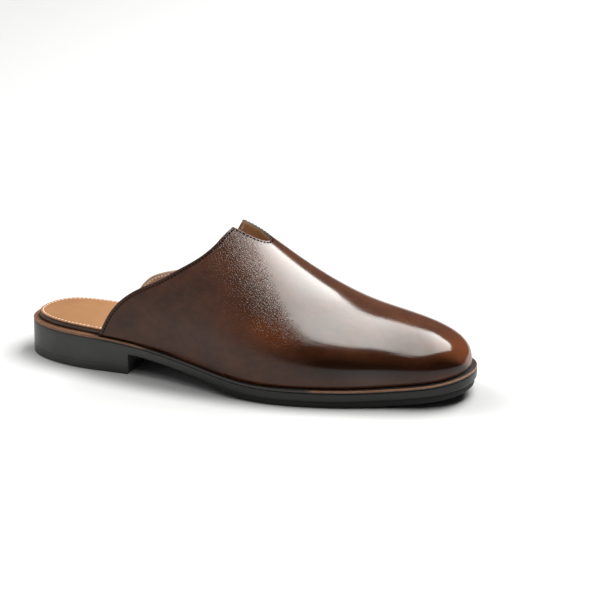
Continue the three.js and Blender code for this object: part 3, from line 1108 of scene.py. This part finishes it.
    def half_wall(self, work: Patchwork, side: Side, rims: Array) -> None:
        """Adds one half of the wall: outside, rounded edge, inside and foot.

        Args:
            work: what collects the grids.
            side: which half.
            rims: points of the opening's edge.
        """
        flip = side is Side.INNER
        count = self.edge_columns
        out, angle, turn = self.grid(side, self.leather_rows, 0.0)
        inside, _, _ = self.grid(side, self.lining_rows, self.last.wall)
        normal = self.last.upper_slopes(angle, turn, side)[2]
        lift = out[..., 2] - self.last.feather_height(out[..., 0])
        tuck = np.square(np.clip(1.0 - lift / self.tuck_height, 0.0, 1.0)) * self.tuck
        level = unit(normal * np.array([1.0, 1.0, 0.0]))
        out = out - level * tuck[..., None] + normal * self.flexed(angle, turn, side)[..., None]
        values = self.surface(angle, turn, side, nearest(out, rims))
        arc = self.rounded_edge(side, out[-1, :count], inside[-1, :count])
        crown = self.arc_rows // 2
        work.grid(out, 0, flip, **values)
        # The outer half of the rounded edge carries the painted highlight of the notch too.
        work.grid(arc[:crown + 1], 0, flip, notch_sheen=values["notch_sheen"][-1:, :count])
        work.grid(arc[crown:], 1, flip)
        work.grid(inside, 1, not flip, rim=nearest(inside, rims))
        work.grid(np.linspace(out[0], inside[0], 3), 1, not flip)

    def wall(self, leather: bpy.types.Material, lining: bpy.types.Material) -> bpy.types.Object:
        """The wall: leather outside, lining inside, a half round edge and a closed foot.

        Args:
            leather: the outside's material.
            lining: the inside's material.

        Returns:
            The piece.
        """
        work = Patchwork("rim", "burnish_and_shade", "pebble", "polish", "notch_sheen")
        rims = np.concatenate([
            self.last.upper_point(*self.edge(side, 0.0, self.rim_points).T, side) for side in Side])
        for side in Side:
            self.half_wall(work, side, rims)
        return work.build("upper_wall", [leather, lining], math.radians(70.0))

    def stitches(self, name: str, material: bpy.types.Material, depth: float,
                 sink: float) -> bpy.types.Object:
        """Stitches in a row beside the opening, as small capsules laid end to end.

        Args:
            name: the piece's name.
            material: the thread's material.
            depth: how far below the outer face the row lies.
            sink: how deep each stitch sits in the leather.

        Returns:
            The piece.
        """
        runs = []
        hand = 1.0 if depth == 0.0 else -1.0
        for side in Side:
            path = self.edge(side, self.stitch_offset, self.stitch_points)
            rim = self.last.upper_point(*self.edge(side, 0.0, self.stitch_points).T, side)
            spots = self.last.upper_point(*path.T, side)
            clear = nearest(spots, rim) > self.corner_clear * self.stitch_offset
            normal = self.last.upper_slopes(*path[clear].T, side)[2]
            runs.append((spots[clear] - normal * (depth + hand * sink), normal * hand))
        return stitch_row(name, material, runs, self.stitch_pitch, self.stitch_length, self.thread)


def nearest(points: Array, targets: Array) -> Array:
    """The distance from each point to the closest target, found a block at a time.

    Args:
        points: an array of any shape, by 3.
        targets: a list of points.

    Returns:
        Distances, in the shape of the points.
    """
    block_size = 2000
    flat = points.reshape(-1, 3)
    blocks = np.array_split(flat, max(1, len(flat) // block_size))
    found = [np.sqrt(np.square(block[:, None, :] - targets[None]).sum(-1).min(-1)) for block in blocks]
    return np.concatenate(found).reshape(points.shape[:-1])


def stitch_row(name: str, material: bpy.types.Material, runs: Sequence[tuple[Array, Array]],
               pitch: float, length: float, thread: float) -> bpy.types.Object:
    """Capsules along paths: a circle that swells and closes as an ellipse along each stitch.

    Args:
        name: the piece's name.
        material: the thread's material.
        runs: a path and its surface normals for each run.
        pitch: from stitch to stitch.
        length: of one stitch.
        thread: its diameter.

    Returns:
        The piece.
    """
    flatness = 0.55
    work = Patchwork()
    swing = np.linspace(0.0, 2.0 * math.pi, 9)[:, None]
    tip = np.linspace(-1.0, 1.0, 7)[:, None, None]
    girth = np.sqrt(np.clip(1.0 - np.abs(tip) ** 3, 0.0, 1.0)) * thread / 2.0
    for path, normals in runs:
        travel = travelled(path)
        spots = np.arange(pitch / 2.0, travel[-1], pitch)
        middle = read_along(spots, travel, path)
        up = unit(read_along(spots, travel, normals))
        along = unit(read_along(spots, travel, np.gradient(path, travel, axis=0)))
        for centre, forward, aside, above in zip(middle, along, np.cross(along, up), up):
            ring = np.cos(swing) * aside + flatness * np.sin(swing) * above
            work.grid(centre + tip * forward * length / 2.0 + girth * ring)
    return work.build(name, [material], math.pi)


@dataclass
class Plates:
    """Builds the flat layers: profile rows round the outline, then the faces across."""

    last: Last
    stations: int = 180
    across: int = 12

    def ring(self, reach: Curve, inset: float | Curve, start: float | None,
             end: float | None) -> Array:
        """The outline in plan as pairs of outer and inner points, from back to front.

        Args:
            reach: how far past the feather line it stands, by station angle.
            inset: how far this row of the profile draws in, or that by station angle.
            start: where a cut back end stands, or None for a round one.
            end: where a cut front end stands, or None.

        Returns:
            Stations by 2 sides by x and y.
        """
        last = self.last
        low = 0.0 if start is None else float(angle_of(last.share_at(start)))
        high = math.pi if end is None else float(angle_of(last.share_at(end)))
        angle = np.linspace(low, high, self.stations + 1)
        drawn = inset(angle) if callable(inset) else np.full_like(angle, inset)
        pair = np.stack([last.feather_point(angle, side, reach(angle) - drawn) for side in Side], 1)
        if start is not None:
            pair[0, :, 0] = start + drawn[0]
        if end is not None:
            pair[-1, :, 0] = end - drawn[-1]
        return pair

    def plate(self, work: Patchwork, reach: Curve, rows: Sequence[tuple[float | Curve, Curve]],
              start: float | None = None, end: float | None = None,
              caps: tuple[Curve | None, Curve | None] = (None, None), slots: Sequence[int] | None = None,
              ink_and_shade: Callable[[Array, int], Array] | None = None) -> None:
        """A closed plate.

        Each profile row is the outline drawn in by its inset, at its height over x. The
        faces at the bottom and top run straight across from side to side.

        Args:
            work: what collects the grids.
            reach: how far past the feather line it stands.
            rows: inset and height of each profile row, from the bottom up.
            start: where a cut back end stands.
            end: where a cut front end stands.
            caps: heights of the bottom and top faces over x and y, if not level across.
            slots: the material slot between each two rows, then of the bottom and the top.
            ink_and_shade: how dark a point is painted, as ink and shade, by its place and its profile row.
        """
        slots = list(slots or [0] * (len(rows) + 1))
        walls = []
        for inset, height in rows:
            pair = self.ring(reach, inset, start, end)
            loop = np.concatenate([pair[:, 0], pair[::-1, 1], pair[:1, 0]])
            walls.append(np.concatenate([loop, height(loop[:, 0])[:, None]], -1))
        wall = np.array(walls)
        for i in range(len(rows) - 1):
            band = wall[i:i + 2]
            ink_and_shade_values = {"ink_and_shade": np.stack([ink_and_shade(band[k], i + k) for k in (0, 1)])} if ink_and_shade else {}
            work.grid(band, slots[i], False, **ink_and_shade_values)
        for k, (inset, height), cap in ((0, rows[0], caps[0]), (1, rows[-1], caps[1])):
            pair = self.ring(reach, inset, start, end)
            share = np.linspace(0.0, 1.0, self.across + 1)[None, :, None]
            spread = pair[:, :1] + (pair[:, 1:] - pair[:, :1]) * share
            level = height(spread[..., 0])
            face = np.concatenate([spread, level[..., None]], -1)
            if cap is not None:
                face[..., 2] += cap(face)
            ink_and_shade_values = {"ink_and_shade": ink_and_shade(face, k * (len(rows) - 1))} if ink_and_shade else {}
            work.grid(face, slots[len(rows) - 1 + k], k == 0, **ink_and_shade_values)


@dataclass
class SoleUnit:
    """Heel block, rubber forepart, midsole and welt."""

    last: Last
    plates: Plates
    outsole_inset: float = 0.0016
    outsole_start: float = 0.356
    outsole_full: float = 0.56
    outsole_cut: float = 0.25
    outsole_feather: float = 0.0008
    lift: float = 0.0055
    line: float = 0.00012
    bevel: float = 0.0007
    tread_pitch: float = 0.004
    tread_depth: float = 0.0006
    tread_slant: float = 0.6
    # Where the tread and the welt's ink and painted shade fade from none to full: by distance from
    # the middle line, by distance from the rubber's back end, by the wave's height, and by share of the
    # last.
    tread_side: Span = (0.042, 0.038)
    tread_back: Span = (0.012, 0.018)
    tread_wave: Span = (0.1, -0.02)
    bevel_start: Span = (0.0, 0.006)
    ink_and_shade_back: Span = (0.24, 0.34)
    ink_and_shade_front: Span = (0.78, 0.62)
    ink_and_shade_crease: Span = (0.14, 0.22)

    def reach(self, angle: Array) -> Array:
        """How far the sole stands out past the feather line."""
        return self.last.ledge * self.last.reach_at(angle)

    def heel(self, edge: bpy.types.Material, rubber: bpy.types.Material) -> bpy.types.Object:
        """The heel block with its rubber top piece, a fine line between them.

        Args:
            edge: the waxed edge's material.
            rubber: the top piece's material.

        Returns:
            The piece.
        """
        last, line = self.last, self.line
        end = last.heel_end - last.origin
        # Inset and height of each row above the floor.
        profile = ((0.0009, 0.0), (0.0003, 0.0002), (0.0, 0.0008), (0.0, self.lift - line),
                   (line, self.lift), (0.0, self.lift + line))
        rows = [(inset, over(np.zeros_like, height)) for inset, height in profile]
        rows.append((0.0, last.midsole_bottom))
        work = Patchwork()
        self.plates.plate(work, self.reach, rows, end=end, slots=[0, 0, 0, 0, 0, 0, 1, 0])
        return work.build("heel_block", [edge, rubber], math.radians(30.0))

    def outsole(self, rubber: bpy.types.Material) -> bpy.types.Object:
        """The rubber forepart, feathered out in the waist, with a fine tread underneath.

        Args:
            rubber: its material.

        Returns:
            The piece.
        """
        last = self.last
        feathering = (self.outsole_start, self.outsole_full)
        cut = self.outsole_start + self.outsole_cut * (self.outsole_full - self.outsole_start)
        start = cut * last.length - last.origin
        top = over(last.midsole_bottom, -last.gap)

        def bottom(x: Array) -> Array:
            """The underside: the full depth under the ball, eased to nothing in the waist."""
            depth = last.outsole_thickness * fade(last.share_at(x), feathering)
            return top(x) - np.maximum(depth, self.outsole_feather)

        def tread(face: Array) -> Array:
            """Grooves up into the rubber where the product of two slanted waves is near zero.

            Args:
                face: points of the underside.

            Returns:
                How far up each point goes.
            """
            x, y = face[..., 0], face[..., 1]
            leaning = [np.sin((x + lean * y) * math.pi / self.tread_pitch)
                       for lean in (self.tread_slant, -self.tread_slant)]
            inside = fade(np.abs(y), self.tread_side) * fade(x - start, self.tread_back)
            return self.tread_depth * fade(np.abs(leaning[0] * leaning[1]), self.tread_wave) * inside

        rows = [(0.0007, bottom), (0.0002, over(bottom, 0.0003)), (0.0, over(bottom, 0.0008)),
                (0.0, over(top, -0.0005)), (0.0002, top)]
        fine = Plates(last, stations=300, across=110)
        work = Patchwork()
        fine.plate(work, lambda angle: self.reach(angle) - self.outsole_inset, rows, start=start,
                   caps=(tread, None))
        return work.build("outsole_rubber", [rubber], math.radians(40.0))

    def midsole(self, edge: bpy.types.Material) -> bpy.types.Object:
        """The sole's black edge, bevelled below in front of the heel.

        Args:
            edge: its material.

        Returns:
            The piece.
        """
        last, line = self.last, self.line
        low = last.midsole_bottom
        thick = last.midsole_thickness

        def bevel(angle: Array) -> Array:
            """The lower bevel, which fades out over the heel block."""
            return self.bevel * fade(last.x_at(angle) + last.origin - last.heel_end, self.bevel_start)

        rows = [(bevel, low), (lambda angle: bevel(angle) * 0.9, over(low, 0.0001)),
                (lambda angle: bevel(angle) * 0.12, over(low, 0.0007)), (0.0, over(low, 0.0010)),
                (0.0, over(low, thick - 0.0004)), (line, over(low, thick)), (0.0012, over(low, thick))]
        work = Patchwork()
        self.plates.plate(work, self.reach, rows)
        return work.build("midsole_edge", [edge], math.radians(35.0))

    def welt(self, leather: bpy.types.Material) -> bpy.types.Object:
        """The tan rim with its softened edges, darkened along the waist and beside the upper by ink and
        painted shade.

        Args:
            leather: its material.

        Returns:
            The piece.
        """
        last = self.last
        thick = last.welt_thickness
        # Inset and height of each row above the midsole.
        profile = ((0.0002, 0.0), (0.0, 0.0002), (0.0, 0.0006), (0.0, 0.0008), (0.0, thick - 0.0005),
                   (0.00015, thick - 0.00015), (0.0005, thick), (0.0007, thick), (0.0014, thick))
        rows = [(inset, over(last.welt_bottom, height)) for inset, height in profile]
        bare_rows = range(3, 7)

        def ink_and_shade(points: Array, row: int) -> Array:
            """Ink and painted shade by place: none at the heel seat, full in the waist, and a bare line
            ahead.

            Args:
                points: points of the rim.
                row: their row of the profile.

            Returns:
                From 0 for tan to 1 for the full dark of ink and shade.
            """
            share = last.share_at(points[..., 0])
            # The dark is partly ink and partly painted shade: under the upper in the waist, and on the faces
            # beside the upper.
            waist = fade(share, self.ink_and_shade_back) * fade(share, self.ink_and_shade_front)
            return waist if row in bare_rows else np.maximum(waist, fade(share, self.ink_and_shade_crease))

        work = Patchwork("ink_and_shade")
        self.plates.plate(work, self.reach, rows, ink_and_shade=ink_and_shade)
        return work.build("welt_rim", [leather], math.radians(35.0))


@dataclass
class Footbed:
    """The insole with its wrapped edge, and the sock that lines it."""

    last: Last
    plates: Plates
    sock_inset: float = 0.0006
    stitch_inset: float = 0.0018
    stitch_pitch: float = 0.0029
    stitch_length: float = 0.002
    thread: float = 0.0010
    stitch_end: float = 0.5
    stitch_points: int = 600
    stitch_sink: float = 0.0001
    wrap_round: float = 0.0007

    def reach(self, angle: Array) -> Array:
        """How far the insole stands out past the feather line, which is less than nothing.

        Args:
            angle: station angles.

        Returns:
            A reach for each angle.
        """
        last = self.last
        toe = fade(share_of(angle), (last.flat_end, 1.0))
        return -(last.wall + last.gap + last.toe_ease * toe)

    def insole(self, wrap: bpy.types.Material) -> bpy.types.Object:
        """The board with leather wrapped round its edge as a soft half round.

        Args:
            wrap: its material.

        Returns:
            The piece.
        """
        last = self.last
        rows = [(self.wrap_round * (1.0 - math.sqrt(max(0.0, 1.0 - swing ** 4))),
                 over(last.feather_height, last.insole_thickness * (swing + 1.0) / 2.0))
                for swing in np.linspace(-1.0, 1.0, 9)]
        work = Patchwork()
        self.plates.plate(work, self.reach, rows)
        return work.build("insole_wrap", [wrap], math.radians(60.0))

    def sock(self, leather: bpy.types.Material) -> bpy.types.Object:
        """The sock: a turned edge and a fine trough under the stitches.

        Args:
            leather: its material.

        Returns:
            The piece.
        """
        thick = self.last.sock_thickness
        trough = self.stitch_inset
        # Inset and height of each row above the insole.
        profile = ((0.0002, 0.0), (0.0, 0.0003), (0.0001, thick - 0.0002), (0.0005, thick),
                   (trough - 0.0006, thick), (trough, thick - 0.0002), (trough + 0.0006, thick),
                   (trough + 0.0015, thick))
        rows = [(inset, over(self.last.sock_bottom, height)) for inset, height in profile]
        work = Patchwork()
        self.plates.plate(work, lambda angle: self.reach(angle) - self.sock_inset, rows)
        return work.build("sock_leather", [leather], math.radians(60.0))

    def stitches(self, thread: bpy.types.Material) -> bpy.types.Object:
        """Light stitches in the trough round the seat, up to where the upper hides them.

        Args:
            thread: their material.

        Returns:
            The piece.
        """
        last = self.last
        angle = np.linspace(0.0, float(angle_of(np.array(self.stitch_end))), self.stitch_points)
        inset = self.sock_inset + self.stitch_inset
        sides = [last.feather_point(angle, side, self.reach(angle) - inset) for side in Side]
        plan = np.concatenate([sides[0][::-1], sides[1][1:]])
        height = last.sock_bottom(plan[:, 0]) + last.sock_thickness - self.stitch_sink
        path = np.concatenate([plan, height[:, None]], -1)
        normals = np.broadcast_to(np.array([0.0, 0.0, 1.0]), path.shape)
        return stitch_row("sock_stitches", thread, [(path, normals)], self.stitch_pitch,
                          self.stitch_length, self.thread)


@dataclass(frozen=True)
class Studio:
    """Floor, light and the photograph's view of the shoe."""

    azimuth: float = math.radians(20.0)
    elevation: float = math.radians(20.5)
    distance: float = 1.9
    target: tuple[float, float, float] = (0.1128, 0.0, 0.0)
    target_pixel: Span = (252.0, 372.0)
    pixels_per_metre: float = 1540.0
    picture: float = 600.0
    sensor: float = 36.0
    box_height: float = 1.05
    box_radiance: float = 11.9
    box_colour: Colour = (0.99, 1.0, 0.968)
    corner_aside: Span = (-0.06, 0.13)
    corner_towards: Span = (0.82, 1.08)
    # The bank of panels is cut slantwise: each border starts here, straight over the shoe,
    # and moves back by this much for each metre to the right.
    bank_aside: Span = (0.14, 1.25)
    bank_panels: int = 14
    bank_near: Span = (1.12, 1.43)
    bank_far: Span = (-0.2, 1.62)
    bank_end: float = -1.42
    # One stretch of the bank is dimmer.
    dim_share: float = 0.18
    dim_aside: float = 0.45
    dim_spread: float = 0.12
    # The world's light behind the shoe and from the left, by the direction's cosine.
    behind_from: Span = (-0.1, 0.4)
    behind_glow: Span = (0.03, 0.13)
    left_from: Span = (0.15, 0.9)
    left_glow: float = 0.56
    backdrop: float = 1.15
    world_colour: tuple[float, float, float, float] = (1.0, 0.995, 0.985, 1.0)
    floor_size: float = 12.0
    floor_drop: float = 0.0002
    floor_glow: Colour = (0.48, 0.48, 0.475)
    # The oval under the shoe where the floor doesn't glow: its middle, one over its half
    # lengths, and where the glow starts and is full, in half lengths.
    shade_middle: tuple[float, float, float] = (0.124, 0.0, 0.0)
    shade_scale: tuple[float, float, float] = (6.4, 18.5, 0.0)
    shade_edge: Span = (0.86, 1.3)

    def right(self) -> Array:
        """The level direction to the camera's right."""
        return np.array([math.cos(self.azimuth), math.sin(self.azimuth), 0.0])

    def near(self) -> Array:
        """The level direction from the shoe towards the camera."""
        return np.array([math.sin(self.azimuth), -math.cos(self.azimuth), 0.0])

    def camera(self) -> None:
        """The camera: it stands where the photograph was taken and looks at its middle."""
        right = self.right()
        back = self.near() * math.cos(self.elevation) + np.array([0.0, 0.0, math.sin(self.elevation)])
        above = np.cross(back, right)
        focal = self.pixels_per_metre * self.distance
        aside, down = (self.picture / 2.0 - pixel for pixel in self.target_pixel)
        behind = unit(back * focal - right * aside + above * down)
        level = unit(right - behind * (right @ behind))
        data = bpy.data.cameras.new("camera")
        data.sensor_width = self.sensor
        data.lens = focal / self.picture * self.sensor
        camera = bpy.data.objects.new("camera", data)
        camera.location = np.array(self.target) + back * self.distance
        turned = np.stack([level, np.cross(behind, level), behind], -1)
        camera.rotation_euler = Matrix(turned.tolist()).to_euler()
        bpy.context.scene.collection.objects.link(camera)
        bpy.context.scene.camera = camera

    def softbox(self, name: str, aside: Span, towards: Span, radiance: float) -> None:
        """A level rectangular light over the shoe, squared up to the camera.

        Args:
            name: the light's name.
            aside: its reach to the camera's right, from and to.
            towards: its reach towards the camera, from and to.
            radiance: how bright its face is.
        """
        data = bpy.data.lights.new(name, "AREA")
        data.shape = "RECTANGLE"
        data.size, data.size_y = aside[1] - aside[0], towards[1] - towards[0]
        data.energy = radiance * math.pi * data.size * data.size_y
        data.color = self.box_colour
        light = bpy.data.objects.new(name, data)
        middle = np.array(self.target) + (self.right() * sum(aside) + self.near() * sum(towards)) / 2.0
        light.location = (middle[0], middle[1], self.box_height)
        light.rotation_euler = (0.0, 0.0, self.azimuth)
        bpy.context.scene.collection.objects.link(light)

    def world(self) -> None:
        """White to the eye, and to reflections brighter behind the shoe and from the left."""
        world = bpy.data.worlds.new("studio")
        bpy.context.scene.world = world
        world.use_nodes = True
        sheet = Sheet(world.node_tree)
        where = sheet.node("TexCoord").outputs["Generated"]
        behind, left = (sheet.node("VectorMath", {0: where, 1: tuple(-way)}, operation="DOT_PRODUCT")
                        .outputs["Value"] for way in (self.near(), self.right()))
        glow = sheet.math("ADD", sheet.span(behind, *self.behind_from, *self.behind_glow),
                          sheet.span(left, *self.left_from, 0.0, self.left_glow))
        seen = sheet.node("LightPath").outputs["Is Camera Ray"]
        strength = sheet.node("Mix", {0: seen, 2: glow, 3: self.backdrop}, data_type="FLOAT").outputs[0]
        sheet.feed(world.node_tree.nodes["Background"], {"Strength": strength, "Color": self.world_colour})

    def floor(self) -> bpy.types.Object:
        """A wide pale floor just under the shoe, which glows a little except beneath the shoe.

        Returns:
            The floor.
        """
        half = self.floor_size / 2.0
        line = np.linspace(-half, half, 9)
        x, y = np.meshgrid(line, line)
        work = Patchwork()
        work.grid(np.stack([x, y, np.full_like(x, -self.floor_drop)], -1))
        finish = Finish("floor_paint", (0.38, 0.38, 0.385), (0.36, 0.36, 0.365), roughness=0.7, specular=0.1)
        material, sheet, shader = finish.start()
        noise = sheet.node("TexNoise", {"Scale": 3.0, "Detail": 2.0}).outputs[0]
        spot = sheet.node("TexCoord").outputs["Object"]
        for operation, change in (("SUBTRACT", self.shade_middle), ("MULTIPLY", self.shade_scale)):
            spot = sheet.node("VectorMath", {0: spot, 1: change}, operation=operation).outputs[0]
        away = sheet.node("VectorMath", {0: spot}, operation="LENGTH").outputs["Value"]
        glow = sheet.mix(sheet.span(away, *self.shade_edge), (0.0, 0.0, 0.0), self.floor_glow)
        sheet.feed(shader, {"Base Color": finish.colour(sheet, noise), "Emission Color": glow,
                            "Emission Strength": 1.0})
        return work.build("floor", [material])

    def build(self) -> None:
        """Camera, world, floor and lights, with plain colours on screen."""
        self.camera()
        self.world()
        self.floor()
        self.softbox("corner", self.corner_aside, self.corner_towards, self.box_radiance)
        edges = np.linspace(*self.bank_aside, self.bank_panels + 1)
        for i in range(self.bank_panels):
            middle = (edges[i] + edges[i + 1]) / 2.0
            far = max(self.bank_far[0] - self.bank_far[1] * middle, self.bank_end)
            near = self.bank_near[0] - self.bank_near[1] * middle
            dimmed = self.dim_share * bell((middle - self.dim_aside) / self.dim_spread)
            panel = (edges[i], edges[i + 1])
            self.softbox(f"panel_{i}", panel, (far, near), self.box_radiance * (1.0 - dimmed))
        bpy.context.scene.view_settings.view_transform = "Standard"


def main() -> None:
    """Builds the studio, then the shoe from the sole up, and reports each piece."""
    logging.basicConfig(level=logging.INFO, format="%(name)s %(message)s")
    groups = Groups()
    material = {finish.name: finish.dress(groups) for finish in FINISHES}
    Studio().build()
    last = Last()
    plates = Plates(last)
    sole = SoleUnit(last, plates)
    place(sole.heel(material["sole_edge_wax_and_heel_sheen"], material["rubber"]), "heel_leather", "heel")
    place(sole.outsole(material["rubber"]), "sole_rubber", "outsole")
    place(sole.midsole(material["sole_edge_wax_and_heel_sheen"]), "sole_edge", "midsole")
    place(sole.welt(material["welt_tan"]), "welt_leather", "welt")
    footbed = Footbed(last, plates)
    place(footbed.insole(material["wrap_leather"]), "insole_wrap", "insole")
    place(footbed.sock(material["sock_tan"]), "sock_leather", "sock")
    place(footbed.stitches(material["light_thread"]), "sock_leather")
    upper = Upper(last)
    place(upper.wall(material["upper_leather"], material["lining_leather_and_painted_light"]), "upper_leather", "upper")
    place(upper.stitches("upper_stitches", material["dark_thread"], 0.0, 0.00002), "upper_leather")
    place(upper.stitches("lining_stitches", material["light_thread"], last.wall, 0.00008), "upper_leather")


if __name__ == "__main__":
    main()
